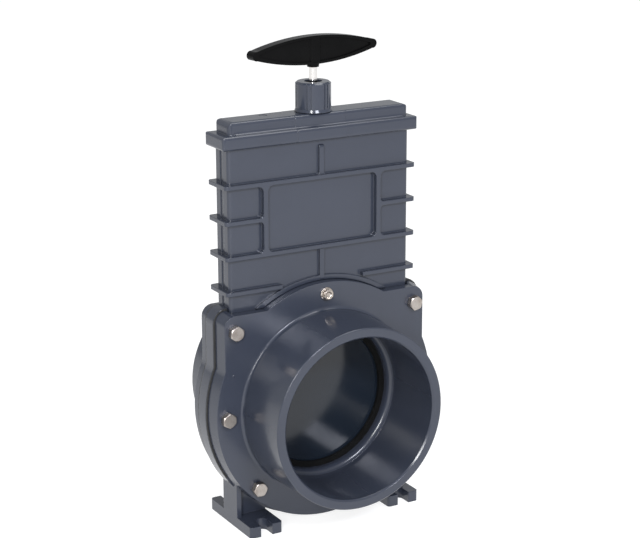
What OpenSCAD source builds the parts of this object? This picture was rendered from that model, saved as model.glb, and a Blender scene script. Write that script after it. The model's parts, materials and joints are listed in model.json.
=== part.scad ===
// Knife gate valve for 160 mm solvent-weld pipe, opened by pulling its gate straight up.
// X runs across the valve, Y along the pipe and Z up. The origin lies on the floor under
// the middle of the feet. Modules marked "about the pipe axis" are drawn with z = 0 on the
// pipe axis and are lifted to axis_height by on_axis().

/* [Pipe sockets] */
// Height of the pipe axis above the floor
axis_height = 119; // [118.6:0.1:122]
// Radius of the socket bore, for a pipe of 160 mm outside diameter
socket_bore_r = 80; // [79:0.1:81]
// Outer radius of a socket at its mouth
socket_mouth_r = 89.7; // [88:0.1:91]
// Outer radius of a socket where it leaves the flange
socket_root_r = 91.2; // [90:0.1:93]
// Distance from the middle of the valve to each socket mouth
socket_reach = 90; // [80:1:110]
// Distance from the middle of the valve to the step that stops the pipe
pipe_stop = 18; // [16:0.5:22]
// Radius of the port between the pipe stop and the gate
port_r = 74.5; // [73:0.5:76]

/* [Hub plates] */
// Distance from the middle of the valve to the flange face
plate_face = 24.4; // [23:0.1:26]
// Radius of the round part of the flange
flange_r = 118.4; // [117:0.1:118.4]
// Half the width over the square shoulders
shoulder_half_w = 109; // [108:0.5:111]
// Height of the shoulders above the pipe axis
shoulder_top = 99.5; // [98:0.5:101]
// Corner radius of the shoulders
shoulder_corner_r = 11; // [8:0.5:14]

/* [Bonnet body] */
// Half the thickness of the ring that the two hub plates clamp
ring_half_t = 7.5; // [7:0.1:8]
// How far the ring stands out past the plates' edges
ring_lip = 4; // [2:0.1:4.4]
// Half the width of the sleeve
sleeve_half_w = 97.4; // [96.4:0.1:98.4]
// Half the depth of the sleeve
sleeve_half_d = 13.5; // [13:0.1:14]
// Corner radius of the sleeve and the plan of its ribs
sleeve_corner_r = 3.5; // [2:0.5:4]
// How far the ribs stand out from the sleeve
rib_out = 5.4; // [3:0.1:6]
// Thickness of the ribs
rib_t = 3.8; // [2:0.1:4.5]
// Height above the pipe axis of the top rib
rib_top_z = 220.2; // [219:0.1:222]
// Spacing of the four ribs
rib_step = 33.87; // [33:0.01:34]
// Half the distance between the two upright ribs that frame the middle panel
frame_x = 61; // [58:0.5:64]
// Width of an upright rib
frame_w = 4.5; // [3:0.1:6]

/* [Feet] */
// Outer side of a foot, from the middle of the valve
foot_outer_x = 94.2; // [92:0.1:95]
// Inner side of a foot, from the middle of the valve
foot_inner_x = 59.8; // [58:0.1:63]
// Half the length of a foot along the pipe
foot_half_l = 43.1; // [40:0.1:48]
// Thickness of a foot
foot_t = 11; // [9:0.5:12]
// Width of the open bolt notch in each end of a foot
notch_w = 12.5; // [10:0.5:14]
// Depth of a bolt notch
notch_l = 17; // [14:0.5:18]

/* [Cap] */
// Height above the pipe axis of the cap's underside
cap_bottom = 254.8; // [254:0.1:257]
// Height above the pipe axis of the step between the cap's flange and its block
cap_step = 268.2; // [267:0.1:269]
// Height above the pipe axis of the cap's flat top
cap_top = 280.2; // [279.5:0.1:282]
// Half the width and half the depth of the cap's flange
cap_flange = [104.6, 19];
// Half the width and half the depth of the cap's upper block
cap_block = [96.4, 14];

/* [Gate] */
// Half the thickness of the gate
gate_half_t = 4.5; // [4:0.1:4.5]
// Radius of the gate's round end, which is also half its width
gate_r = 90.6; // [90:0.1:90.8]
// How far the gate lifts from closed to open
gate_travel = 165; // [160:1:165]

/* [Rod and gland] */
// Radius of the rod
stem_r = 4; // [3.9:0.05:4]
// Radial running clearance of everything that slides on the rod
stem_clearance = 0.06; // [0.03:0.01:0.1]
// Outer radius of the gland nut
gland_nut_r = 17; // [16:0.1:17.5]
// Height above the pipe axis of the gland nut's top
gland_nut_top = 308.5; // [307:0.5:309]

/* [Handle] */
// Length of the handle
handle_l = 141; // [130:1:150]
// Height of the handle at its middle
handle_h = 26.8; // [24:0.2:28]
// Height of the leaf shape just inside its round ends
handle_end_h = 8.4; // [5:0.2:9]
// Thickness of the handle
handle_t = 10.6; // [10.4:0.1:14]
// How far the handle is turned about the rod
handle_turn = 6; // [0:0.5:90]

/* [Hex bolts] */
// Radius of the shanks of the hub bolts
bolt_r = 4; // [3.9:0.1:4]
// Width across the flats of the bolt heads and nuts
bolt_flats = 13; // [12.8:0.1:13]
// Height of a bolt head
bolt_head_h = 6.3; // [5:0.1:7]

/* [Hidden] */

$fn = 96;
// Extra depth of a cut, so that it passes clean through a face
cut = 1;

// Colours
body_grey = [0.29, 0.32, 0.38];
rubber_black = [0.05, 0.05, 0.05];
steel = [0.78, 0.77, 0.75];
packing_white = [0.85, 0.84, 0.8];
handle_black = [0.04, 0.04, 0.045];
insert_brass = [0.72, 0.58, 0.3];

// Gaskets and the hub plates' inner faces
gasket_t = 1.4;
gasket_lip = ring_lip - 0.1;
gasket_lip_bottom = -66;
plate_back = ring_half_t + gasket_t;
stop_round = 5.4;
root_fillet_r = 3;
pip_place = [-100.3, 41.4];

// Gate boss and the nuts on the rod's lower end
boss_half_w = 14;
boss_half_d = 7.2;
boss_z = [86.5, 100];
gate_top = 97;
bevel = 2.6;
gate_nut_z = 89;
nut_h = 6.5;
jam_nut_h = 4;

// The space that the gate moves in
cavity_r = gate_r + 0.9;
cavity_top = boss_z[1] + jam_nut_h + gate_travel + 2;
rail_gap = 0.35;
rail_w = 6.5;
rail_bottom = 100;

// Sleeve
sleeve_bottom = 92;
sleeve_top = 266;
groove_half_w = 2.8;
groove_depth = 0.8;
pocket_gap = 0.2;
rib_z = [for (i = [0:3]) rib_top_z - i * rib_step];
low_rib_inner_x = 44;
middle_rib_w = 5;
middle_rib_out = 2.8;
middle_rib_top = 250.5;
fillet_r = 5.5;
bead_inner_r = 118.9;
bead_outer_r = 123.3;
bead_out = 2.4;

// Feet
foot_corner_r = 3;
post_t = 4.8;
post_half_d = 14.5;
ring_flat_z = -117.5;

// Seat seals
seal_lip_r = 69;
seal_groove_r = [76, 82];
seal_groove_depth = 3.2;
seal_gap = 0.05;

// Cap and gland
cap_round = 3.2;
cap_end_round = 6.5;
cap_block_corner_r = 4.5;
cap_flange_round = 3.2;
cap_flange_middle = (cap_bottom + cap_step) / 2;
cap_flange_half_h = (cap_step - cap_bottom) / 2;
cap_pad_half_w = 27;
cap_pad_out = 0.4;
neck_r = 12;
neck_top = 299;
chamber_r = 8;
chamber_bottom = 285;
packing_washer_t = 1.5;
packing_top = 295;
follower_flange = [301, 304];
follower_flange_r = 10.5;
nut_bottom = 280.7;
nut_groove = 0.8;
nut_collar_h = 3;
nut_hole_r = 8.5;
wiper_top = 307;
pad_count = 6;
pad_start = -4.5;
pad_angle = 42;
ridge_start = 42.5;
ridge_angle = 8;
dimple_x = -52;

// Rod and handle
stem_bottom = 87.5;
stem_top = 341;
handle_mid_z = 338.2;
handle_nub_r = 4.4;
handle_boss_r = 6.9;
handle_hub_r = [5.5, 6.4];
handle_hub_z = [322, 325.8];
handle_rim = 2.4;
handle_recess = 2;
insert_r = 4.9;
insert_bottom = 321.8;
insert_top = 336;

// Fasteners
bolt_circle_r = 107.6;
bolt_circle_z = -0.8;
corner_bolt = [98.3, 83.6];
hole_gap = 0.4;
washer_t = 1.6;
washer_r = 8;
bolt_tail = 2;
bolt_places = concat(
    [for (side = [-1, 1]) [side * corner_bolt[0], corner_bolt[1]]],
    [for (a = [0, 180, 225, 315]) [bolt_circle_r * cos(a), bolt_circle_z + bolt_circle_r * sin(a)]]);
bolt_turns = [38, 46, 10, 30, 58, 20];
screw_z = 106.8;
screw_r = 2.75;
screw_l = 15.5;
screw_flange_r = 6.6;
screw_flats = 9.5;
screw_head_h = 5;

// ---- Placing and drawing helpers ----

module on_axis() {
    translate([0, 0, axis_height]) children();
}

// A flat outline in X and Z, carried along Y from y0 to y1
module along_y(y0, y1) {
    translate([0, y1, 0]) rotate([90, 0, 0]) linear_extrude(y1 - y0) children();
}

// A flat outline in Y and Z, carried along X over half_w to each side
module along_x(half_w) {
    rotate([90, 0, 90]) translate([0, 0, -half_w]) linear_extrude(2 * half_w) children();
}

// A profile of radius and distance along Y, turned about the pipe axis
module about_y() {
    rotate([-90, 0, 0]) rotate_extrude($fn = 180) children();
}

// A rectangle of the given half sizes with four round corners
module round_rect(half_w, half_h, r) {
    square(2 * [half_w - r, half_h], center = true);
    square(2 * [half_w, half_h - r], center = true);
    for (x = [-1, 1], y = [-1, 1])
        translate([x * (half_w - r), y * (half_h - r)]) circle(r = r);
}

// A rectangle standing on bottom, with its two top corners round
module arch_rect(half_w, bottom, top, r) {
    translate([-half_w, bottom]) square([2 * half_w, top - bottom - r]);
    translate([r - half_w, bottom]) square([2 * (half_w - r), top - bottom]);
    for (x = [-1, 1]) translate([x * (half_w - r), top - r]) circle(r = r);
}

// The material that fills an inside corner at the origin with radius r, towards +x and +y
module corner_fillet(r) {
    difference() {
        translate([-0.2, -0.2]) square(r + 0.2);
        translate([r, r]) circle(r = r);
    }
}

// A tube along Z
module tube(inner_r, outer_r, z0, z1) {
    translate([0, 0, z0]) difference() {
        cylinder(r = outer_r, h = z1 - z0);
        translate([0, 0, -cut]) cylinder(r = inner_r, h = z1 - z0 + 2 * cut);
    }
}

// A hexagonal prism along Z, with two of its flats facing Y
module hex_prism(flats, h) {
    cylinder(d = flats / cos(30), h = h, $fn = 6);
}

module hex_nut(flats, bore_r, h) {
    difference() {
        hex_prism(flats, h);
        translate([0, 0, -cut]) cylinder(r = bore_r, h = h + 2 * cut);
    }
}

// Holes along Y at every hub bolt
module bolt_holes(half_l) {
    for (p = bolt_places)
        translate([p[0], -half_l, p[1]]) rotate([-90, 0, 0])
            cylinder(r = bolt_r + hole_gap, h = 2 * half_l);
}

// ---- Outlines about the pipe axis ----

// Edge of a hub plate, or of the ring when grown by ring_lip
module plate_outline(grow = 0) {
    circle(r = flange_r + grow, $fn = 180);
    arch_rect(shoulder_half_w + grow, 0, shoulder_top + grow, shoulder_corner_r + grow);
}

// The U-shaped space that holds the gate, up to the height top
module cavity_outline(top) {
    circle(r = cavity_r, $fn = 180);
    translate([-cavity_r, 0]) square([2 * cavity_r, top]);
}

// ---- Bonnet body ----

module gate_cavity() {
    along_y(-ring_half_t - cut, ring_half_t + cut) cavity_outline(sleeve_bottom);
    along_y(-ring_half_t, ring_half_t) cavity_outline(rail_bottom);
    along_y(-gate_half_t - rail_gap, gate_half_t + rail_gap) cavity_outline(sleeve_top + cut);
    along_y(-ring_half_t, ring_half_t)
        translate([rail_w - cavity_r, 0]) square([2 * (cavity_r - rail_w), sleeve_top + cut]);
}

module ring_block() {
    along_y(-ring_half_t, ring_half_t) intersection() {
        plate_outline(ring_lip);
        translate([-150, ring_flat_z]) square([300, 300]);
    }
}

module sleeve_block() {
    difference() {
        translate([0, 0, sleeve_bottom]) linear_extrude(sleeve_top - sleeve_bottom)
            round_rect(sleeve_half_w, sleeve_half_d, sleeve_corner_r);
        for (side = [-1, 1])
            translate([side * sleeve_half_w, 0, shoulder_top + ring_lip + 150])
                cube([2 * groove_depth, 2 * groove_half_w, 300], center = true);
    }
}

// One horizontal rib; only the parts further than inner_x from the middle are kept
module sleeve_rib(z, inner_x) {
    translate([0, 0, z - rib_t / 2]) linear_extrude(rib_t) difference() {
        round_rect(sleeve_half_w + rib_out, sleeve_half_d + rib_out, sleeve_corner_r + 0.5);
        if (inner_x > 0) square([2 * inner_x, 100], center = true);
    }
}

module upright_rib(x, w, out, z0, z1) {
    half_d = sleeve_half_d + out;
    translate([x - w / 2, -half_d, z0]) cube([w, 2 * half_d, z1 - z0]);
}

// Round fillets in the corners between the upright and the horizontal ribs
module frame_fillets() {
    half_d = sleeve_half_d + rib_out;
    edge = frame_w / 2;
    along_y(-half_d, half_d)
        for (x = [-1, 1], side = [-1, 1])
            translate([x * frame_x + side * edge, 0]) {
                translate([0, rib_z[0] - rib_t / 2]) mirror([side < 0 ? 1 : 0, 0])
                    mirror([0, 1]) corner_fillet(fillet_r);
                translate([0, rib_z[2] + rib_t / 2]) mirror([side < 0 ? 1 : 0, 0])
                    corner_fillet(fillet_r);
                if (side == x) {
                    translate([0, rib_z[1] + rib_t / 2]) mirror([side < 0 ? 1 : 0, 0])
                        corner_fillet(fillet_r * 0.7);
                    translate([0, rib_z[1] - rib_t / 2]) mirror([side < 0 ? 1 : 0, 0])
                        mirror([0, 1]) corner_fillet(fillet_r * 0.7);
                }
            }
}

module sleeve_ribs() {
    sleeve_rib(rib_z[0], 0);
    sleeve_rib(rib_z[1], frame_x);
    sleeve_rib(rib_z[2], 0);
    sleeve_rib(rib_z[3], low_rib_inner_x);
    for (side = [-1, 1])
        upright_rib(side * frame_x, frame_w, rib_out, rib_z[2], rib_z[0]);
    along_x(middle_rib_w / 2)
        arch_rect(sleeve_half_d + middle_rib_out, rib_z[0], middle_rib_top, middle_rib_out - 0.1);
    upright_rib(0, middle_rib_w, middle_rib_out, bead_inner_r + 1, rib_z[2]);
    along_y(-sleeve_half_d - middle_rib_out, sleeve_half_d + middle_rib_out)
        for (side = [0, 1]) mirror([side, 0]) {
            translate([middle_rib_w / 2, rib_z[0] + rib_t / 2]) corner_fillet(2.5);
            translate([middle_rib_w / 2, rib_z[2] - rib_t / 2]) mirror([0, 1]) corner_fillet(2.5);
        }
    frame_fillets();
}

// The raised lip of the sleeve that follows the top of the round flange
module flange_bead() {
    half_d = sleeve_half_d + bead_out;
    along_y(-half_d, half_d) intersection() {
        difference() {
            circle(r = bead_outer_r, $fn = 180);
            circle(r = bead_inner_r, $fn = 180);
        }
        translate([-sleeve_half_w + 8, shoulder_top + 1]) square([2 * sleeve_half_w - 16, 40]);
    }
}

module foot_plan() {
    length = foot_outer_x - foot_inner_x;
    difference() {
        round_rect(length / 2, foot_half_l, foot_corner_r);
        for (end = [-1, 1]) {
            translate([0, end * (foot_half_l - notch_l + notch_w / 2)]) circle(d = notch_w);
            translate([0, end * (foot_half_l - notch_l + notch_w / 2 + 20)])
                square([notch_w, 40], center = true);
        }
    }
}

// One foot: notched base, web under the ring and an outer wall
module foot(side) {
    foot_top = foot_t - axis_height;
    translate([side * (foot_outer_x + foot_inner_x) / 2, 0, -axis_height])
        linear_extrude(foot_t) foot_plan();
    difference() {
        union() {
            along_y(-ring_half_t, ring_half_t)
                translate([side > 0 ? foot_inner_x : -foot_outer_x, foot_top - cut])
                    square([foot_outer_x - foot_inner_x, 60]);
            along_y(-post_half_d, post_half_d)
                translate([side > 0 ? foot_outer_x - post_t : -foot_outer_x, foot_top - cut])
                    square([post_t, 40]);
        }
        along_y(-50, 50) circle(r = flange_r + 0.4, $fn = 180);
    }
}

module bonnet_body() {
    color(body_grey) on_axis() difference() {
        union() {
            ring_block();
            sleeve_block();
            sleeve_ribs();
            flange_bead();
            for (side = [-1, 1]) foot(side);
        }
        gate_cavity();
        bolt_holes(60);
        translate([0, -60, screw_z]) rotate([-90, 0, 0]) cylinder(r = screw_r, h = 120);
    }
}

// ---- Hubs ----

// The rear hub; the front one is its mirror image
module hub() {
    color(body_grey) on_axis() difference() {
        union() {
            along_y(plate_back, plate_face) plate_outline();
            about_y() {
                polygon([[port_r - 4, plate_back], [socket_root_r, plate_back],
                         [socket_root_r, plate_face], [socket_mouth_r + 0.02, socket_reach - 0.8],
                         [socket_mouth_r - 0.8, socket_reach], [port_r - 4, socket_reach]]);
                translate([socket_root_r, plate_face]) corner_fillet(root_fillet_r);
            }
            translate([pip_place[0], plate_face, pip_place[1]]) rotate([-90, 0, 0])
                cylinder(r1 = 1.2, r2 = 0.7, h = 0.5);
        }
        about_y() {
            translate([0, -cut]) square([port_r, 150]);
            translate([0, pipe_stop]) square([socket_bore_r, 100]);
            polygon([[socket_bore_r - 1, socket_reach - 1.6], [socket_bore_r, socket_reach - 1.6],
                     [socket_bore_r + 1.6, socket_reach], [socket_bore_r + 1.6, socket_reach + cut],
                     [socket_bore_r - 1, socket_reach + cut]]);
            difference() {
                translate([port_r - cut, pipe_stop - stop_round])
                    square([stop_round + cut, stop_round + cut]);
                translate([port_r + stop_round, pipe_stop - stop_round]) circle(r = stop_round);
                translate([port_r + stop_round, 0]) square([stop_round, pipe_stop + 2 * cut]);
            }
            translate([seal_groove_r[0], 0])
                square([seal_groove_r[1] - seal_groove_r[0], plate_back + seal_groove_depth]);
        }
        translate([-sleeve_half_w - pocket_gap, 0, sleeve_bottom - pocket_gap])
            cube([2 * (sleeve_half_w + pocket_gap), sleeve_half_d + 0.05, 60]);
        bolt_holes(60);
        translate([0, 0, screw_z]) rotate([-90, 0, 0]) cylinder(r = screw_r + 0.3, h = 60);
    }
}

module rear_hub() {
    hub();
}

module front_hub() {
    mirror([0, 1, 0]) hub();
}

// ---- Seals ----

// Flat gasket; it reaches the edge of the ring except beside the feet
module hub_gasket() {
    color(rubber_black) on_axis() difference() {
        along_y(ring_half_t, plate_back) difference() {
            union() {
                plate_outline();
                intersection() {
                    plate_outline(gasket_lip);
                    translate([-150, gasket_lip_bottom]) square([300, 250]);
                }
            }
            cavity_outline(150);
            translate([-sleeve_half_w - 1, sleeve_bottom - 1])
                square([2 * sleeve_half_w + 2, 60]);
        }
        bolt_holes(60);
    }
}

module rear_hub_gasket() {
    hub_gasket();
}

module front_hub_gasket() {
    mirror([0, 1, 0]) hub_gasket();
}

// Seat seal: a foot pressed into the hub's groove and a flat lip against the gate
module seat_seal() {
    lip_face = gate_half_t + seal_gap;
    color(rubber_black) on_axis() about_y() {
        difference() {
            translate([seal_lip_r, lip_face])
                square([seal_groove_r[1] - seal_lip_r, plate_back - lip_face]);
            translate([seal_lip_r, lip_face]) rotate(45) square(1.2, center = true);
        }
        translate([seal_groove_r[0] + 0.05, plate_back - 0.2])
            square([seal_groove_r[1] - seal_groove_r[0] - 0.1, seal_groove_depth]);
    }
}

module rear_seat_seal() {
    seat_seal();
}

module front_seat_seal() {
    mirror([0, 1, 0]) seat_seal();
}

// ---- Cap and gland ----

// The cap's upper block, round along its top edges
module cap_brick(half_w, half_d, bottom, top) {
    intersection() {
        translate([0, 0, bottom]) linear_extrude(top - bottom)
            round_rect(half_w, half_d, cap_block_corner_r);
        along_x(half_w + cut) arch_rect(half_d, bottom, top, cap_round);
        along_y(-half_d - cut, half_d + cut) arch_rect(half_w, bottom, top, cap_end_round);
    }
}

// The cap's flange, round along all its edges
module cap_flange_block(half_w, half_d) {
    intersection() {
        translate([0, 0, cap_bottom]) linear_extrude(cap_step - cap_bottom)
            round_rect(half_w, half_d, cap_flange_round);
        along_y(-half_d - cut, half_d + cut) translate([0, cap_flange_middle])
            round_rect(half_w, cap_flange_half_h, cap_flange_round);
        along_x(half_w + cut) translate([0, cap_flange_middle])
            round_rect(half_d, cap_flange_half_h, cap_flange_round);
    }
}

module bonnet_cap() {
    color(body_grey) on_axis() difference() {
        union() {
            cap_flange_block(cap_flange[0], cap_flange[1]);
            cap_brick(cap_block[0], cap_block[1], cap_bottom + 3, cap_top);
            along_x(cap_pad_half_w) {
                arch_rect(cap_block[1] + cap_pad_out, cap_bottom + 3, cap_top, cap_round);
                translate([0, cap_flange_middle])
                    round_rect(cap_flange[1] + cap_pad_out, cap_flange_half_h, cap_flange_round);
            }
            for (side = [0, 1]) mirror([0, side, 0]) along_x(cap_block[0] - cap_end_round)
                translate([cap_block[1], cap_step]) corner_fillet(2.8);
            translate([0, 0, cap_top - cut]) cylinder(r = neck_r, h = neck_top - cap_top + cut);
        }
        translate([0, 0, cap_bottom - cut]) linear_extrude(sleeve_top - cap_bottom + cut + 0.1)
            round_rect(sleeve_half_w + 0.1, sleeve_half_d + 0.1, sleeve_corner_r);
        along_y(-ring_half_t, ring_half_t)
            translate([-cavity_r, sleeve_top - cut]) square([2 * cavity_r, cavity_top - sleeve_top + cut]);
        translate([0, 0, cavity_top - cut]) cylinder(r = stem_r + 0.3, h = 40);
        translate([0, 0, chamber_bottom]) cylinder(r = chamber_r, h = 40);
        translate([dimple_x, 3, cap_top - 0.3]) cylinder(r = 4.2, h = 2);
    }
}

module packing_washer() {
    color(steel) on_axis()
        tube(stem_r + 0.1, chamber_r - 0.05, chamber_bottom, chamber_bottom + packing_washer_t);
}

module stem_packing() {
    color(packing_white) on_axis()
        tube(stem_r + stem_clearance, chamber_r - 0.02, chamber_bottom + packing_washer_t, packing_top);
}

module gland_follower() {
    color(packing_white) on_axis() {
        tube(stem_r + stem_clearance, chamber_r - 0.08, packing_top + 0.02, follower_flange[0] + 0.5);
        tube(stem_r + stem_clearance, follower_flange_r, follower_flange[0], follower_flange[1]);
    }
}

// A rib on the nut's side: the part between two angles of a ring with a bevelled top
module nut_rib(start, angle) {
    core_r = gland_nut_r - nut_groove;
    bottom = nut_bottom + nut_collar_h;
    rotate(start) translate([0, 0, bottom]) rotate_extrude(angle = angle)
        polygon([[core_r - 1, 0], [gland_nut_r, 0], [gland_nut_r, gland_nut_top - bottom - 1.6],
                 [core_r - 0.4, gland_nut_top - bottom - 0.2], [core_r - 1, gland_nut_top - bottom - 0.2]]);
}

// The nut's outside: a flared collar, a round core, six wide pads and a ridge between each pair
module gland_nut() {
    core_r = gland_nut_r - nut_groove;
    color(body_grey) on_axis() difference() {
        union() {
            translate([0, 0, nut_bottom]) cylinder(r = core_r, h = gland_nut_top - nut_bottom);
            translate([0, 0, nut_bottom])
                cylinder(r1 = gland_nut_r + 0.9, r2 = gland_nut_r - 0.1, h = nut_collar_h);
            for (i = [0:pad_count - 1]) {
                nut_rib(i * 360 / pad_count + pad_start, pad_angle);
                nut_rib(i * 360 / pad_count + ridge_start, ridge_angle);
            }
        }
        translate([0, 0, nut_bottom - cut])
            cylinder(r = neck_r + 0.06, h = follower_flange[1] - nut_bottom + cut);
        translate([0, 0, nut_bottom]) cylinder(r = nut_hole_r, h = 40);
        rotate_extrude() polygon([[core_r - 1, gland_nut_top + 0.01], [core_r + 2, gland_nut_top + 0.01],
                                  [core_r + 2, gland_nut_top - 1.2], [core_r, gland_nut_top - 1]]);
    }
}

module stem_wiper() {
    color(rubber_black) on_axis()
        tube(stem_r + stem_clearance, nut_hole_r - 0.02, follower_flange[1] + 0.02, wiper_top);
}

// ---- Gate, rod and handle ----

module gate() {
    color(body_grey) on_axis() difference() {
        union() {
            about_y() polygon([[0, -gate_half_t], [gate_r - bevel, -gate_half_t],
                               [gate_r, bevel - gate_half_t], [gate_r, gate_half_t - bevel],
                               [gate_r - bevel, gate_half_t], [0, gate_half_t]]);
            translate([-gate_r, -gate_half_t, 0]) cube([2 * gate_r, 2 * gate_half_t, gate_top]);
            translate([-boss_half_w, -boss_half_d, boss_z[0]])
                cube([2 * boss_half_w, 2 * boss_half_d, boss_z[1] - boss_z[0]]);
        }
        translate([-bolt_flats / cos(30) / 2 - 0.1, -20, gate_nut_z - 0.1])
            cube([bolt_flats / cos(30) + 0.2, 40, nut_h + 0.2]);
        translate([0, 0, stem_bottom - 1]) cylinder(r = stem_r + 0.2, h = 30);
    }
}

module gate_nut() {
    color(steel) on_axis() translate([0, 0, gate_nut_z])
        hex_nut(bolt_flats, stem_r, nut_h);
}

module stem_jam_nut() {
    color(steel) on_axis() translate([0, 0, boss_z[1]])
        hex_nut(bolt_flats, stem_r, jam_nut_h);
}

module stem() {
    tip = 0.8;
    color(steel) on_axis() rotate_extrude()
        polygon([[0, stem_bottom], [stem_r - tip, stem_bottom], [stem_r, stem_bottom + tip],
                 [stem_r, stem_top - tip], [stem_r - tip, stem_top], [0, stem_top]]);
}

// Leaf shape between two arcs, with a round end of end_r about the place where each arc stops
module leaf(length, height, end_height, end_r) {
    rise = (height - end_height) / 2;
    half_l = length / 2 - end_r;
    arc_r = (pow(half_l, 2) + pow(rise, 2)) / (2 * rise);
    intersection() {
        translate([0, height / 2 - arc_r]) circle(r = arc_r, $fn = 360);
        translate([0, arc_r - height / 2]) circle(r = arc_r, $fn = 360);
        square([2 * half_l, height + 2], center = true);
    }
    for (x = [-1, 1]) translate([x * half_l, 0]) circle(r = end_r);
}

// The handle's boss around the rod, and the cone that shows under the leaf
module handle_boss() {
    half_t = handle_t / 2;
    intersection() {
        translate([0, 0, handle_hub_z[1]])
            cylinder(r = handle_boss_r, h = handle_mid_z + handle_h / 2 - 1 - handle_hub_z[1]);
        translate([-20, -half_t, 300]) cube([40, handle_t, 60]);
        along_y(-half_t, half_t) translate([0, handle_mid_z])
            leaf(handle_l, handle_h, handle_end_h, handle_nub_r);
    }
    translate([0, 0, handle_hub_z[0]])
        cylinder(r1 = handle_hub_r[0], r2 = handle_hub_r[1], h = handle_hub_z[1] - handle_hub_z[0] + 0.5);
}

module handle() {
    half_t = handle_t / 2;
    color(handle_black) on_axis() rotate(handle_turn) difference() {
        union() {
            translate([0, 0, handle_mid_z]) difference() {
                along_y(-half_t, half_t) leaf(handle_l, handle_h, handle_end_h, handle_nub_r);
                for (side = [0, 1]) mirror([0, side, 0]) along_y(half_t - handle_recess, half_t + cut)
                    leaf(handle_l - 6 * handle_rim, handle_h - 2 * handle_rim, 3, 1.5);
            }
            handle_boss();
        }
        translate([0, 0, handle_hub_z[0] - cut])
            cylinder(r = insert_r, h = insert_top - handle_hub_z[0] + cut);
        translate([0, 0, insert_top - cut]) cylinder(r = stem_r + 0.1, h = stem_top + 1 - insert_top);
    }
}

module handle_insert() {
    color(insert_brass) on_axis() tube(stem_r, insert_r, insert_bottom, insert_top);
}

// ---- Fasteners ----

module hub_bolts() {
    shank_l = 2 * plate_face + washer_t + nut_h + bolt_tail;
    color(steel) on_axis() for (i = [0:len(bolt_places) - 1])
        translate([bolt_places[i][0], -plate_face, bolt_places[i][1]]) rotate([-90, bolt_turns[i], 0]) {
            cylinder(r = bolt_r, h = shank_l);
            intersection() {
                translate([0, 0, -bolt_head_h]) hex_prism(bolt_flats, bolt_head_h);
                translate([0, 0, -bolt_head_h])
                    cylinder(r1 = bolt_flats / 2 - 0.2, r2 = bolt_flats / 2 - 0.2 + 2 * bolt_head_h,
                             h = bolt_head_h);
            }
        }
}

module hub_washers() {
    color(steel) on_axis() for (p = bolt_places)
        translate([p[0], plate_face, p[1]]) rotate([-90, 0, 0])
            tube(bolt_r + 0.2, washer_r, 0, washer_t);
}

module hub_nuts() {
    color(steel) on_axis() for (p = bolt_places)
        translate([p[0], plate_face + washer_t, p[1]]) rotate([-90, 0, 0])
            hex_nut(bolt_flats, bolt_r, nut_h);
}

// Hex washer-head screws that hold the top of each plate to the sleeve wall
module hub_screws() {
    color(steel) on_axis() for (side = [0, 1]) mirror([0, side, 0])
        translate([0, -plate_face, screw_z]) rotate([-90, 0, 0]) {
            cylinder(r = screw_r - 0.05, h = screw_l);
            translate([0, 0, -1.2]) cylinder(r = screw_flange_r, h = 1.2);
            difference() {
                translate([0, 0, -screw_head_h]) rotate(30) hex_prism(screw_flats, screw_head_h);
                translate([0, 0, -screw_head_h - 0.2]) cylinder(r = 3.1, h = 1.8);
            }
        }
}

bonnet_body();
front_hub();
rear_hub();
front_hub_gasket();
rear_hub_gasket();
front_seat_seal();
rear_seat_seal();
bonnet_cap();
packing_washer();
stem_packing();
gland_follower();
gland_nut();
stem_wiper();
gate();
gate_nut();
stem_jam_nut();
stem();
handle();
handle_insert();
hub_bolts();
hub_washers();
hub_nuts();
hub_screws();
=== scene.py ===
"""Knife gate valve for plastic pipe: finished meshes, materials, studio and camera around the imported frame.

Lengths are metres unless a name ends in _mm. X runs across the valve, Y along the pipe, Z up, and
the origin lies on the floor under the middle of the feet.
"""

import json
import math

import bmesh
import bpy
from mathutils import Matrix, Vector


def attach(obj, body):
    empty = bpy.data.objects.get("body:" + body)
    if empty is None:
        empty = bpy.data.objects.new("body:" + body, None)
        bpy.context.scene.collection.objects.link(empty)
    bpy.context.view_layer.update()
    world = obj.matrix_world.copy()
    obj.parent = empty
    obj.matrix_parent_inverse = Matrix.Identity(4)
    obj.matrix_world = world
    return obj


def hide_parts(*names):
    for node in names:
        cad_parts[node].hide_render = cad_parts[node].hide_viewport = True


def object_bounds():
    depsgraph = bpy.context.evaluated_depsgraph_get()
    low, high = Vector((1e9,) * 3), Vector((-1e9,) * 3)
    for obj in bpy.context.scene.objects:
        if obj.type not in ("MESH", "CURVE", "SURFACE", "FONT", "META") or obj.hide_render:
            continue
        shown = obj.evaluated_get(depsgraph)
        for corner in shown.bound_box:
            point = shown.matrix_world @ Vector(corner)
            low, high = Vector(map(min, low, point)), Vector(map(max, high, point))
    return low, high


MM = 0.001

# ---- Frame and camera ----------------------------------------------------------------------------

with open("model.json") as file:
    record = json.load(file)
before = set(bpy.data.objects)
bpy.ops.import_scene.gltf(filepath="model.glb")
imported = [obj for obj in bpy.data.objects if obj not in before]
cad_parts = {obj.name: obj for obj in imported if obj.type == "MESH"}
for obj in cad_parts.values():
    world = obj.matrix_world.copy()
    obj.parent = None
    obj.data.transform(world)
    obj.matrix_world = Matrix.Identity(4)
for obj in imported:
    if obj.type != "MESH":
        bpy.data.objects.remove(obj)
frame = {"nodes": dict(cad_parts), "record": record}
cad_low, cad_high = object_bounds()
nodes = frame["nodes"]
bodies = frame["record"]["behaviour"]["bodies"]
body_of_node = {node: body for body, members in bodies.items() for node in members}

# Where the camera stands, how it points and how far it is zoomed in
CAMERA_PLACE = Vector((-0.8280, -1.4731, 0.7270))
CAMERA_AZIMUTH = math.radians(-29.54)
CAMERA_ELEVATION = math.radians(15.94)
CAMERA_ROLL = math.radians(-0.18)
CAMERA_LENS_MM = 102.68
CAMERA_SENSOR_MM = 36


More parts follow.
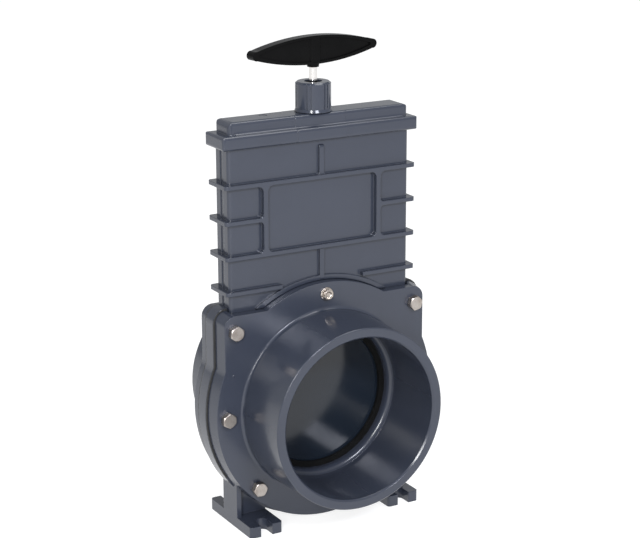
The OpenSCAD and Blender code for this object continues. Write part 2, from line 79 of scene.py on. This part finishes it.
def make_camera():
    data = bpy.data.cameras.new("camera")
    data.sensor_fit = "HORIZONTAL"
    data.sensor_width = CAMERA_SENSOR_MM
    data.lens = CAMERA_LENS_MM
    data.clip_start, data.clip_end = 0.05, 50
    camera = bpy.data.objects.new("camera", data)
    bpy.context.scene.collection.objects.link(camera)
    az, el = CAMERA_AZIMUTH, CAMERA_ELEVATION
    back = Vector((math.sin(az) * math.cos(el), -math.cos(az) * math.cos(el), math.sin(el)))
    right = Vector((math.cos(az), math.sin(az), 0))
    up = back.cross(right)
    turned_right = math.cos(CAMERA_ROLL) * right + math.sin(CAMERA_ROLL) * up
    turned_up = back.cross(turned_right)
    turn = Matrix((turned_right, turned_up, back)).transposed()
    camera.matrix_world = Matrix.Translation(CAMERA_PLACE) @ turn.to_4x4()
    bpy.context.scene.camera = camera


make_camera()


# ---- Shader building -----------------------------------------------------------------------------


class Shader:
    """A node material under construction, with short calls for the nodes that this scene uses."""

    def __init__(self, name, **inputs):
        self.material = bpy.data.materials.new(name)
        self.material.use_nodes = True
        self.tree = self.material.node_tree
        self.bsdf = self.tree.nodes["Principled BSDF"]
        for key, value in inputs.items():
            self.set(key.replace("_", " ").capitalize() if key.islower() else key, value)

    def set(self, socket, value):
        target = self.bsdf.inputs[socket]
        if isinstance(value, bpy.types.NodeSocket):
            self.tree.links.new(value, target)
        else:
            target.default_value = value

    def node(self, kind, **settings):
        made = self.tree.nodes.new(kind)
        for key, value in settings.items():
            setattr(made, key, value)
        return made

    def link(self, source, target):
        if isinstance(source, bpy.types.NodeSocket):
            self.tree.links.new(source, target)
        else:
            target.default_value = source

    def place(self, scale=(1, 1, 1), offset=(0, 0, 0)):
        """Object coordinates, stretched."""
        coordinates = self.node("ShaderNodeTexCoord")
        mapping = self.node("ShaderNodeMapping")
        mapping.inputs["Scale"].default_value = scale
        mapping.inputs["Location"].default_value = offset
        self.link(coordinates.outputs["Object"], mapping.inputs["Vector"])
        return mapping.outputs["Vector"]

    def noise(self, scale, detail=3.0, roughness=0.5, stretch=(1, 1, 1), offset=(0, 0, 0), distortion=0.0):
        made = self.node("ShaderNodeTexNoise")
        self.link(self.place(stretch, offset), made.inputs["Vector"])
        made.inputs["Scale"].default_value = scale
        made.inputs["Detail"].default_value = detail
        made.inputs["Roughness"].default_value = roughness
        made.inputs["Distortion"].default_value = distortion
        return made.outputs["Fac"]

    def range(self, value, low, high, to_low=0.0, to_high=1.0):
        made = self.node("ShaderNodeMapRange", clamp=True)
        self.link(value, made.inputs["Value"])
        for key, number in (("From Min", low), ("From Max", high), ("To Min", to_low), ("To Max", to_high)):
            made.inputs[key].default_value = number
        return made.outputs["Result"]

    def math(self, operation, a, b=0.0):
        made = self.node("ShaderNodeMath", operation=operation)
        self.link(a, made.inputs[0])
        self.link(b, made.inputs[1])
        return made.outputs["Value"]

    def mix(self, factor, a, b):
        made = self.node("ShaderNodeMix", data_type="RGBA")
        self.link(factor, made.inputs["Factor"])
        self.link(a, made.inputs["A"])
        self.link(b, made.inputs["B"])
        return made.outputs["Result"]

    def bump(self, height, distance, strength=1.0, below=None):
        made = self.node("ShaderNodeBump")
        made.inputs["Strength"].default_value = strength
        made.inputs["Distance"].default_value = distance
        self.link(height, made.inputs["Height"])
        if below is not None:
            self.link(below, made.inputs["Normal"])
        return made.outputs["Normal"]

    def round_edges(self, radius):
        """Normals that turn smoothly over every edge, as if it had a small radius."""
        made = self.node("ShaderNodeBevel", samples=8)
        made.inputs["Radius"].default_value = radius
        return made.outputs["Normal"]

    def shade_in_corners(self, distance):
        """Ambient occlusion for painted shade: 1 in the open and towards 0 in corners and slots."""
        made = self.node("ShaderNodeAmbientOcclusion", samples=16)
        made.inputs["Distance"].default_value = distance
        return made.outputs["AO"]


def rgba(colour, factor=1.0):
    return (*[channel * factor for channel in colour], 1.0)


# ---- Materials -----------------------------------------------------------------------------------

PVC = (0.028, 0.033, 0.048)

# Painted shade: the base colour of PVC is darkened in corners and slots, over this reach and by this factor
CORNER_REACH_MM = 5
CORNER_SHADE = 0.85


def pvc(name, colour=PVC, roughness=0.2, waviness=1.0, streak=(1, 1, 0.12), edge_mm=0.9, corner_shade=True):
    """Moulded rigid PVC: smooth, with cloudy colour, faint flow streaks and an uneven gloss, and unless
    corner_shade is off, painted shade darkening its corners and slots.
    """
    s = Shader(name, IOR=1.5)
    cloud = s.noise(11, 3, 0.5)
    flow = s.noise(34, 3, 0.55, stretch=streak, distortion=0.6)
    shade = s.mix(s.range(cloud, 0.3, 0.7), rgba(colour, 0.95), rgba(colour, 1.05))
    shade = s.mix(s.range(flow, 0.4, 0.75, 0.0, 0.3), shade, rgba(colour, 1.14))
    # Painted shade: the base colour darkens in corners and slots, where shade falls
    if corner_shade:
        corner = s.range(s.shade_in_corners(CORNER_REACH_MM * MM), 0.3, 0.9)
        shade = s.mix(corner, rgba(colour, CORNER_SHADE), shade)
    s.set("Base Color", shade)
    gloss = s.range(s.noise(24, 4, 0.55), 0.3, 0.7, roughness - 0.03, roughness + 0.05)
    rubbed = s.range(s.noise(150, 3, 0.6, stretch=(1, 1, 0.3), distortion=0.8), 0.55, 0.8, 0.0, 0.05)
    s.set("Roughness", s.math("ADD", gloss, rubbed))
    s.set("Normal", s.bump(s.noise(21, 2, 0.4), 0.7 * MM * waviness, 0.3, s.round_edges(edge_mm * MM)))
    return s.material


def rubber(name, colour=(0.012, 0.012, 0.012), roughness=0.55, dust=0.4, specular=0.5):
    """Black rubber with a fine grain and a dusting of grey powder."""
    s = Shader(name, Roughness=roughness, IOR=1.5)
    s.set("Specular IOR Level", specular)
    powder = s.range(s.noise(420, 4, 0.7), 0.5, 0.8)
    s.set("Base Color", s.mix(s.math("MULTIPLY", powder, dust), rgba(colour), rgba((0.05, 0.05, 0.048))))
    s.set("Roughness", s.range(s.noise(160, 3), 0.3, 0.7, roughness - 0.1, roughness + 0.12))
    s.set("Normal", s.bump(s.noise(2200, 2), 0.03 * MM, 0.6))
    return s.material


def stainless(name, colour=(0.42, 0.385, 0.355), roughness=0.3, stain=0.35, mottle=120):
    """Cold-formed stainless steel with an uneven, slightly brownish skin."""
    s = Shader(name, Metallic=1.0)
    skin = s.noise(700, 4, 0.65)
    patch = s.noise(mottle, 4, 0.7, offset=(3, 1, 2))
    bright = s.mix(s.range(skin, 0.3, 0.7), rgba(colour, 0.9), rgba(colour, 1.08))
    shade = s.mix(s.range(patch, 0.42, 0.7, 0.0, stain), bright, rgba((0.24, 0.185, 0.15)))
    s.set("Base Color", shade)
    s.set("Roughness", s.range(patch, 0.3, 0.75, roughness - 0.06, roughness + 0.12))
    dents = s.bump(s.noise(160, 3, 0.5), 0.25 * MM, 0.35)
    s.set("Normal", s.bump(skin, 0.02 * MM, 0.4, dents))
    return s.material


def bright_rod(name):
    """Ground rod: fine rings round it from the polishing belt, and a few light scratches along it."""
    s = Shader(name, Metallic=1.0)
    rings = s.noise(100, 5, 0.7, stretch=(0.3, 0.3, 60))
    scratch = s.range(s.noise(100, 3, 0.6, stretch=(30, 30, 0.6)), 0.66, 0.74)
    shade = s.mix(s.range(rings, 0.3, 0.7), rgba((0.72, 0.70, 0.68)), rgba((0.82, 0.80, 0.78)))
    s.set("Base Color", s.mix(s.math("MULTIPLY", scratch, 0.2), shade, rgba((0.5, 0.48, 0.46))))
    s.set("Roughness", s.range(rings, 0.25, 0.75, 0.1, 0.18))
    s.set("Normal", s.bump(rings, 0.01 * MM, 0.3))
    return s.material


def black_plastic(name):
    """Glossy black moulded handle with faint handling scuffs."""
    s = Shader(name, IOR=1.5)
    s.set("Specular IOR Level", 0.05)
    cloud = s.noise(40, 3)
    shade = s.mix(s.range(cloud, 0.3, 0.7), rgba((0.0025, 0.0025, 0.0026)), rgba((0.004, 0.004, 0.0041)))
    s.set("Base Color", shade)
    scuff = s.range(s.noise(260, 4, 0.7, stretch=(0.15, 1, 1), distortion=1.0), 0.58, 0.78, 0.0, 0.1)
    s.set("Roughness", s.math("ADD", s.range(cloud, 0.3, 0.7, 0.16, 0.21), scuff))
    s.set("Normal", s.bump(s.noise(45, 2), 0.4 * MM, 0.25))
    return s.material


def white_packing(name):
    s = Shader(name, IOR=1.38)
    fibre = s.noise(700, 4, 0.7, stretch=(1, 1, 4))
    s.set("Base Color", s.mix(fibre, rgba((0.58, 0.57, 0.54)), rgba((0.80, 0.79, 0.76))))
    s.set("Roughness", s.range(fibre, 0.3, 0.7, 0.42, 0.6))
    s.set("Normal", s.bump(fibre, 0.05 * MM, 0.5))
    return s.material


def black_acetal(name):
    s = Shader(name, IOR=1.48)
    rings = s.noise(90, 4, 0.6, stretch=(0.3, 0.3, 40))
    s.set("Base Color", s.mix(rings, rgba((0.018, 0.018, 0.019)), rgba((0.035, 0.035, 0.037))))
    s.set("Roughness", s.range(rings, 0.3, 0.7, 0.3, 0.45))
    s.set("Normal", s.bump(rings, 0.02 * MM, 0.4))
    return s.material


def turned_brass(name):
    s = Shader(name, Metallic=1.0)
    rings = s.noise(100, 4, 0.7, stretch=(0.3, 0.3, 30))
    tarnish = s.range(s.noise(180, 4, 0.7), 0.45, 0.75, 0.0, 0.6)
    shade = s.mix(rings, rgba((0.62, 0.43, 0.17)), rgba((0.78, 0.57, 0.26)))
    s.set("Base Color", s.mix(tarnish, shade, rgba((0.30, 0.20, 0.09))))
    s.set("Roughness", s.range(rings, 0.3, 0.7, 0.22, 0.38))
    s.set("Normal", s.bump(rings, 0.02 * MM, 0.5))
    return s.material


def studio_floor(name):
    """White paper, lifted a little by its own glow so that it stays white far from the lights."""
    s = Shader(name, IOR=1.45)
    paper = s.noise(30, 4, 0.6)
    s.set("Base Color", s.mix(paper, rgba((0.34, 0.34, 0.34)), rgba((0.37, 0.37, 0.37))))
    s.set("Roughness", s.range(paper, 0.3, 0.7, 0.75, 0.9))
    s.set("Specular IOR Level", 0.1)
    s.set("Emission Color", (1, 1, 1, 1))
    s.set("Emission Strength", 0.8)
    return s.material


BODY = pvc("pvc_body", roughness=0.17)
HUB = pvc("pvc_hub", roughness=0.19, corner_shade=False)
# Painted shade: the gate's base colour is far darker than the body PVC, standing for the shade deep in the
# bore
SHADED_GATE = pvc("pvc_gate", colour=(0.007, 0.011, 0.018), roughness=0.12, waviness=0.35, streak=(0.12, 1, 1),
                edge_mm=0.5, corner_shade=False)
CAP = pvc("pvc_cap", roughness=0.2, edge_mm=1.2, streak=(0.12, 1, 1), corner_shade=False)
NUT = pvc("pvc_nut", roughness=0.15, waviness=0.3, edge_mm=0.5, corner_shade=False)
GASKET = rubber("gasket_rubber")
SEAL = rubber("seal_rubber", colour=(0.004, 0.004, 0.004), roughness=0.5, dust=0.08, specular=0.15)
BOLT = stainless("bolt_stainless", roughness=0.36, stain=0.5)
SCREW = stainless("screw_stainless", colour=(0.55, 0.5, 0.45), roughness=0.2, stain=0.5)
HARDWARE = stainless("hardware_stainless", roughness=0.26)
ROD = bright_rod("rod_stainless")
HANDLE = black_plastic("handle_plastic")
PACKING = white_packing("packing_ptfe")
FOLLOWER = black_acetal("follower_acetal")
BRASS = turned_brass("insert_brass")


# ---- Meshes --------------------------------------------------------------------------------------

# Points closer than MERGE_MM are one; faces within FLAT_DEG are one flat face
MERGE_MM = 0.002
FLAT_DEG = 0.3

# Edges that turn by more than this are sharp. The hubs' rounds are coarser, and turned fasteners finer.
SHARP_DEG = 28.0
HUB_SHARP_DEG = 40.0
FASTENER_SHARP_DEG = 24


def new_piece(name, mesh, node, material):
    """Puts a finished mesh in the scene in place of a CAD node."""
    piece = bpy.data.objects.new(name, mesh)
    bpy.context.scene.collection.objects.link(piece)
    mesh.materials.clear()
    mesh.materials.append(material)
    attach(piece, body_of_node[node])
    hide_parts(node)
    return piece


def moulded(node, material, slot, radius_mm, sharp_deg=SHARP_DEG, reshape=None, join_flats=True):
    """The CAD node's own shape with its flat faces joined up and its edges rounded.

    A radius of 0 leaves the edges to the material. join_flats is off for thin flat rings, since
    joining up their faces can fill the hole.
    """
    mesh = nodes[node].data.copy()
    mesh.name = f"{node}_finished"
    bm = bmesh.new()
    bm.from_mesh(mesh)
    bmesh.ops.remove_doubles(bm, verts=bm.verts, dist=MERGE_MM * MM)
    if join_flats:
        bmesh.ops.dissolve_limit(bm, angle_limit=math.radians(FLAT_DEG), verts=bm.verts, edges=bm.edges)
    if reshape:
        reshape(bm)
    for face in bm.faces:
        face.smooth = True
    bm.to_mesh(mesh)
    bm.free()
    for name in ("custom_normal", "sharp_edge", "sharp_face"):
        layer = mesh.attributes.get(name)
        if layer:
            mesh.attributes.remove(layer)
    piece = new_piece(f"{node}_finished", mesh, node, material)
    if radius_mm:
        return rounded(piece, radius_mm, sharp_deg)
    mesh.set_sharp_from_angle(angle=math.radians(sharp_deg))
    weighted = piece.modifiers.new("flat faces stay flat", "WEIGHTED_NORMAL")
    weighted.keep_sharp = True
    return piece


def rounded(piece, radius_mm, sharp_deg):
    """Rounds every edge that turns by more than sharp_deg."""
    bevel = piece.modifiers.new("edges", "BEVEL")
    bevel.width = radius_mm * MM
    bevel.segments = 2
    bevel.limit_method = "ANGLE"
    bevel.angle_limit = math.radians(sharp_deg)
    bevel.miter_outer = "MITER_ARC"
    bevel.harden_normals = True
    bevel.use_clamp_overlap = True
    return piece


# Hub plates: their outline about the pipe axis, and how far along Y their inner and outer faces lie
PIPE_AXIS_MM = 119.0
FLANGE_R_MM, SHOULDER_HALF_W_MM, SHOULDER_TOP_MM, SHOULDER_CORNER_R_MM = 118.4, 109.0, 99.5, 11.0
PLATE_BACK_MM, PLATE_FACE_MM = 8.9, 24.4

# Mould draft as a part of the plate's size. It fades out over this height at the plate's foot.
DRAFT = 0.019
DRAFT_FADE_MM = 40.0

# How far off the outline or the inner face a point may lie and still count as on it
FLANGE_SLACK_MM, SHOULDER_SLACK_MM, FACE_SLACK_MM = 0.4, 0.3, 0.2


def draft_plate(bm):
    """Mould draft: the plate grows by DRAFT of its size towards its inner face."""
    for vertex in bm.verts:
        x, y, z = vertex.co.x / MM, abs(vertex.co.y) / MM, vertex.co.z / MM - PIPE_AXIS_MM
        past_x = abs(x) - (SHOULDER_HALF_W_MM - SHOULDER_CORNER_R_MM)
        past_z = z - (SHOULDER_TOP_MM - SHOULDER_CORNER_R_MM)
        corner_r = SHOULDER_CORNER_R_MM - SHOULDER_SLACK_MM
        on_corner = past_x > 0 and past_z > 0 and math.hypot(past_x, past_z) > corner_r
        on_flange = math.hypot(x, z) > FLANGE_R_MM - FLANGE_SLACK_MM
        on_side = abs(x) > SHOULDER_HALF_W_MM - SHOULDER_SLACK_MM
        on_top = z > SHOULDER_TOP_MM - SHOULDER_SLACK_MM
        on_outline = on_flange or on_side or on_top or on_corner
        if abs(y - PLATE_BACK_MM) < FACE_SLACK_MM and on_outline:
            draft = DRAFT * min(1.0, max(0.0, (z + FLANGE_R_MM) / DRAFT_FADE_MM))
            vertex.co.x *= 1 + draft
            vertex.co.z += z * MM * draft


# Node, material, slot and edge radius in mm
PLAIN = [
    ("bonnet_body", BODY, "body_pvc", 0),
    ("front_hub", HUB, "body_pvc", 0),
    ("rear_hub", HUB, "body_pvc", 0),
    ("bonnet_cap", CAP, "cap_pvc", 0),
    ("gland_nut", NUT, "nut_pvc", 0),
    ("gate", SHADED_GATE, "gate_pvc", 0.4),
    ("handle", HANDLE, "handle_black", 0.9),
    ("front_hub_gasket", GASKET, "gasket_rubber", 0.3),
    ("rear_hub_gasket", GASKET, "gasket_rubber", 0.3),
    ("front_seat_seal", SEAL, "seal_rubber", 0.5),
    ("rear_seat_seal", SEAL, "seal_rubber", 0.5),
    ("stem_wiper", SEAL, "seal_rubber", 0.4),
    ("handle_insert", BRASS, "insert_brass", 0.2),
    ("packing_washer", HARDWARE, "stainless", 0.2),
    ("stem_packing", PACKING, "packing", 0.3),
    ("gland_follower", FOLLOWER, "follower_plastic", 0.3),
    ("stem", ROD, "rod_steel", 0.2),
    ("stem_jam_nut", HARDWARE, "stainless", 0.2),
    ("gate_nut", HARDWARE, "stainless", 0.2),
    ("hub_washers", HARDWARE, "stainless", 0.3),
]
OPTIONS = {
    "front_hub": {"sharp_deg": HUB_SHARP_DEG, "reshape": draft_plate},
    "rear_hub": {"sharp_deg": HUB_SHARP_DEG},
    "front_seat_seal": {"join_flats": False},
    "rear_seat_seal": {"join_flats": False},
}
for node, material, slot, radius_mm in PLAIN:
    moulded(node, material, slot, radius_mm, **OPTIONS.get(node, {}))


# ---- Fasteners -----------------------------------------------------------------------------------

# All in millimetres. Hub bolts are M8, 13 mm across flats.
BOLT_R, BOLT_FLATS, BOLT_HEAD_H, BOLT_PITCH = 4.0, 13.0, 6.3, 1.25
SCREW_R, SCREW_FLATS, SCREW_HEAD_H, SCREW_L = 2.7, 9.5, 5.0, 15.5
NUT_H = 6.5

# Outside of the thread and the plain shank, just under the bolt's full radius
SHANK_R = BOLT_R - 0.03

# Points around each turned ring
STEPS = 72

# A hexagon's corners are cut to this radius, as a part of its width across flats, by a cone
HEX_CORNER = 0.5675
HEX_BEVEL_DEG = 32

# Radius of the round flat on a head, as a part of half its width across flats
BOLT_FACE, SCREW_FACE = 0.955, 0.95


def hexagon(flats, turn):
    """The distance from the middle of a hexagon to its side as a function of the angle."""

    def radius(angle):
        across = (angle - turn) % (math.pi / 3) - math.pi / 6
        return min(flats / 2 / math.cos(across), flats * HEX_CORNER)

    return radius


def steady(radius, height):
    """A round ring."""
    return lambda angle: (radius, height)


def flank(side, height, inset=0.0):
    """A hexagonal ring."""
    return lambda angle: (side(angle) - inset, height)


def bevelled(side, face_r, height, upper=True):
    """The line where a hexagon's side meets the cone that bevels its corners."""
    sign = 1 if upper else -1

    def ring(angle):
        radius = side(angle)
        return radius, height - sign * max(0.0, radius - face_r) * math.tan(math.radians(HEX_BEVEL_DEG))

    return ring


def helix(height, tip, depth=0.62):
    """A ring of a V thread at a height above the tip."""

    def ring(angle):
        phase = ((height - tip) / BOLT_PITCH + angle / (2 * math.pi)) % 1
        return SHANK_R - depth * abs(2 * phase - 1), height

    return ring


def skin(bm, centre, forward, rings, loop=False):
    """Joins rings about an axis along Y into a closed skin, with a point at each end unless it loops."""
    made = []
    for ring in rings:
        row = []
        for step in range(STEPS):
            angle = 2 * math.pi * step / STEPS
            radius, height = ring(angle)
            x = centre.x + radius * math.cos(angle) * MM
            z = centre.z + radius * math.sin(angle) * MM
            row.append(bm.verts.new((x, centre.y + forward * height * MM, z)))
        made.append(row)
    pairs = list(zip(made, made[1:])) + ([(made[-1], made[0])] if loop else [])
    faces = []
    for low, high in pairs:
        for step in range(STEPS):
            after = (step + 1) % STEPS
            faces.append(bm.faces.new((low[step], low[after], high[after], high[step])))
    if not loop:
        for row, ring in ((made[0], rings[0]), (made[-1], rings[-1])):
            tip = bm.verts.new((centre.x, centre.y + forward * ring(0)[1] * MM, centre.z))
            for step in range(STEPS):
                faces.append(bm.faces.new((row[step], row[(step + 1) % STEPS], tip)))
    bmesh.ops.recalc_face_normals(bm, faces=faces)


def islands(node):
    """Centre, low and high corner and corner angle of every separate solid of a CAD node."""
    bm = bmesh.new()
    bm.from_mesh(nodes[node].data)
    bmesh.ops.remove_doubles(bm, verts=bm.verts, dist=MERGE_MM * MM)
    left, found = set(bm.verts), []
    while left:
        queue, group = [left.pop()], []
        while queue:
            vertex = queue.pop()
            group.append(vertex.co.copy())
            for edge in vertex.link_edges:
                other = edge.other_vert(vertex)
                if other in left:
                    left.remove(other)
                    queue.append(other)
        low = Vector([min(co[i] for co in group) for i in range(3)])
        high = Vector([max(co[i] for co in group) for i in range(3)])
        middle = (low + high) / 2
        far = max(group, key=lambda co: (co.x - middle.x) ** 2 + (co.z - middle.z) ** 2)
        found.append((middle, low, high, math.atan2(far.z - middle.z, far.x - middle.x)))
    bm.free()
    return sorted(found, key=lambda item: (round(item[0].z, 4), round(item[0].x, 4)))


def finish_turned(node, bm, material, radius_mm):
    """Puts turned fasteners in the scene with their edges rounded."""
    for face in bm.faces:
        face.smooth = True
    mesh = bpy.data.meshes.new(f"{node}_finished")
    bm.to_mesh(mesh)
    bm.free()
    rounded(new_piece(f"{node}_finished", mesh, node, material), radius_mm, FASTENER_SHARP_DEG)


def make_bolts():
    bm = bmesh.new()
    face_r = BOLT_FLATS / 2 * BOLT_FACE
    for middle, low, high, turn in islands("hub_bolts"):
        side = hexagon(BOLT_FLATS, turn)
        bearing = Vector((middle.x, low.y + BOLT_HEAD_H * MM, middle.z))
        tip = -(high.y - bearing.y) / MM
        thread = [helix(tip + 0.6 + 0.16 * i, tip) for i in range(16)]
        shank = [steady(3.0, tip), *thread, steady(SHANK_R, tip + 3.4), steady(SHANK_R, 0)]
        head = [flank(side, 0, inset=0.15), flank(side, 0.2), bevelled(side, face_r, BOLT_HEAD_H)]
        top = [steady(face_r, BOLT_HEAD_H), steady(face_r * 0.55, BOLT_HEAD_H - 0.06)]
        skin(bm, bearing, -1, shank + head + top)
    finish_turned("hub_bolts", bm, BOLT, 0.16)


def make_nuts():
    bm = bmesh.new()
    face_r = BOLT_FLATS / 2 * BOLT_FACE
    for middle, low, _high, turn in islands("hub_nuts"):
        side = hexagon(BOLT_FLATS, turn)
        start = Vector((middle.x, low.y, middle.z))
        under = [steady(4.5, 0), steady(face_r, 0), bevelled(side, face_r, 0, upper=False)]
        over = [bevelled(side, face_r, NUT_H), steady(face_r, NUT_H), steady(4.55, NUT_H)]
        hole = [steady(4.02, NUT_H - 0.5), steady(4.02, 0.5)]
        skin(bm, start, 1, under + over + hole, loop=True)
    finish_turned("hub_nuts", bm, HARDWARE, 0.14)


def make_screws():
    bm = bmesh.new()
    face_r = SCREW_FLATS / 2 * SCREW_FACE
    for middle, *_corners in islands("hub_screws"):
        forward = -1 if middle.y < 0 else 1
        bearing = Vector((middle.x, forward * PLATE_FACE_MM * MM, middle.z))
        side = hexagon(SCREW_FLATS, math.pi / 2)
        shank = [steady(1.6, -SCREW_L), steady(SCREW_R, -SCREW_L + 1.4), steady(SCREW_R, 0)]
        flange = [steady(6.3, 0), steady(6.6, 0.25), steady(6.55, 0.8), steady(5.75, 1.2)]
        head = [flank(side, 1.3), bevelled(side, face_r, SCREW_HEAD_H), steady(face_r, SCREW_HEAD_H)]
        dish = [steady(3.4, SCREW_HEAD_H), steady(2.9, SCREW_HEAD_H - 0.7), steady(2.2, SCREW_HEAD_H - 1.2)]
        skin(bm, bearing, forward, shank + flange + head + dish)
    finish_turned("hub_screws", bm, SCREW, 0.15)


make_bolts()
make_nuts()
make_screws()


# ---- Studio --------------------------------------------------------------------------------------


def make_floor():
    bm = bmesh.new()
    bmesh.ops.create_grid(bm, x_segments=8, y_segments=8, size=9)
    mesh = bpy.data.meshes.new("studio_floor")
    bm.to_mesh(mesh)
    bm.free()
    mesh.materials.append(studio_floor("floor_paper"))
    floor = bpy.data.objects.new("studio_floor", mesh)
    bpy.context.scene.collection.objects.link(floor)
    floor.location.z = cad_low.z - 0.1 * MM


# How far the two front lights stand from what they light, in metres
FRONT_LIGHT_REACH = 2.4


def softbox(name, place, aim, size, power, colour=(1, 1, 1)):
    """A rectangular light that faces what it is aimed at."""
    data = bpy.data.lights.new(name, "AREA")
    data.shape = "RECTANGLE"
    data.size, data.size_y = size
    data.energy = power
    data.color = colour
    lamp = bpy.data.objects.new(name, data)
    bpy.context.scene.collection.objects.link(lamp)
    lamp.location = place
    lamp.rotation_mode = "QUATERNION"
    lamp.rotation_quaternion = (aim - place).to_track_quat("-Z", "Y")


def make_studio():
    middle = (cad_low + cad_high) / 2
    world = bpy.data.worlds.new("studio")
    world.use_nodes = True
    background = world.node_tree.nodes["Background"]
    background.inputs["Color"].default_value = (0.97, 0.985, 1.0, 1)
    background.inputs["Strength"].default_value = 0.58
    bpy.context.scene.world = world
    bore = Vector((0.03, -0.05, 0.06))
    softbox("top_light", middle + Vector((0.55, -0.3, 1.8)), middle, (0.9, 0.9), 14)
    above_bore = bore + FRONT_LIGHT_REACH * Vector((-0.064, -0.812, 0.581))
    softbox("key_light", above_bore, bore, (0.62, 0.3), 29, colour=(0.86, 0.89, 1.0))
    softbox("left_light", middle + FRONT_LIGHT_REACH * Vector((-0.60, -0.72, 0.34)), middle, (0.42, 0.9), 42)
    softbox("rim_light", middle + Vector((2.1, 1.9, 1.0)), middle, (1.2, 0.9), 1.5)
    bpy.context.scene.view_settings.view_transform = "Standard"


make_floor()
make_studio()
